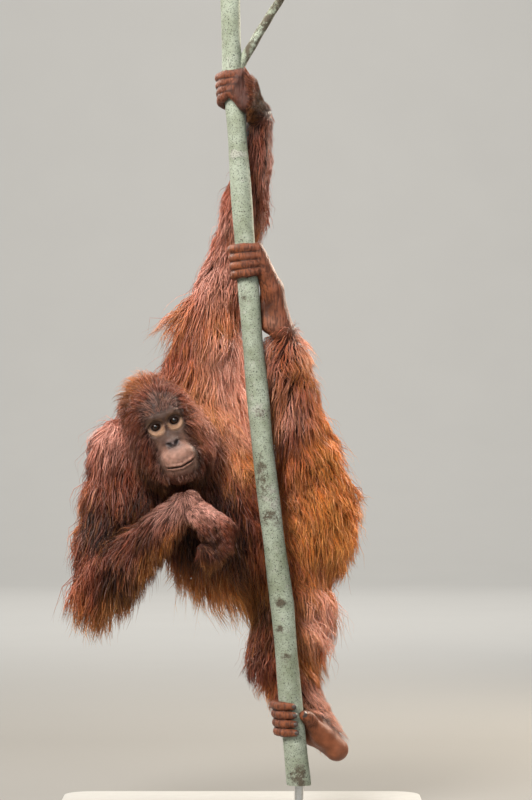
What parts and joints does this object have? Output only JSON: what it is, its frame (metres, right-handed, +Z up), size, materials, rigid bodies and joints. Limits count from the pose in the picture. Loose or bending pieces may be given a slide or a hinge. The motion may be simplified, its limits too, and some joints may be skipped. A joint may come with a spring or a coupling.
{
  "type": "orangutan",
  "caption": "Life-size model of a young orangutan climbing a thin sapling, hanging by hand and feet, on a flat display base.",
  "frame": {"origin": "on the display base's underside, plumb below the middle of the sapling", "axes": "+Z up along the sapling, the animal faces -Y, its own left side is at +X"},
  "size_m": [0.74, 0.56, 1.6795],
  "materials": {
    "coat": "long reddish-brown hair, orange at the fringes",
    "face": "bare grey-brown skin, paler round the eyes and muzzle",
    "skin": "bare dark brown skin of hands, feet and ears",
    "eye": "wet dark brown",
    "bark": "smooth pale grey-green bark with dark specks",
    "base": "satin pale grey",
    "rod": "brushed"
  },
  "bodies": {
    "root": {"torso": "coat", "neck": "coat", "head": "face", "arm_upper_left": "coat", "arm_upper_right": "coat", "forearm_left": "coat", "forearm_right": "coat", "thigh_left": "coat", "thigh_right": "coat", "shank_left": "coat", "shank_right": "coat", "hand_left": "skin", "hand_right": "skin", "foot_left": "skin", "foot_right": "skin", "ear_left": "skin", "ear_right": "skin", "eye_left": "eye", "eye_right": "eye", "sapling": "bark", "stand_base": "base", "stand_rod": "rod"}
  },
  "joints": []
}
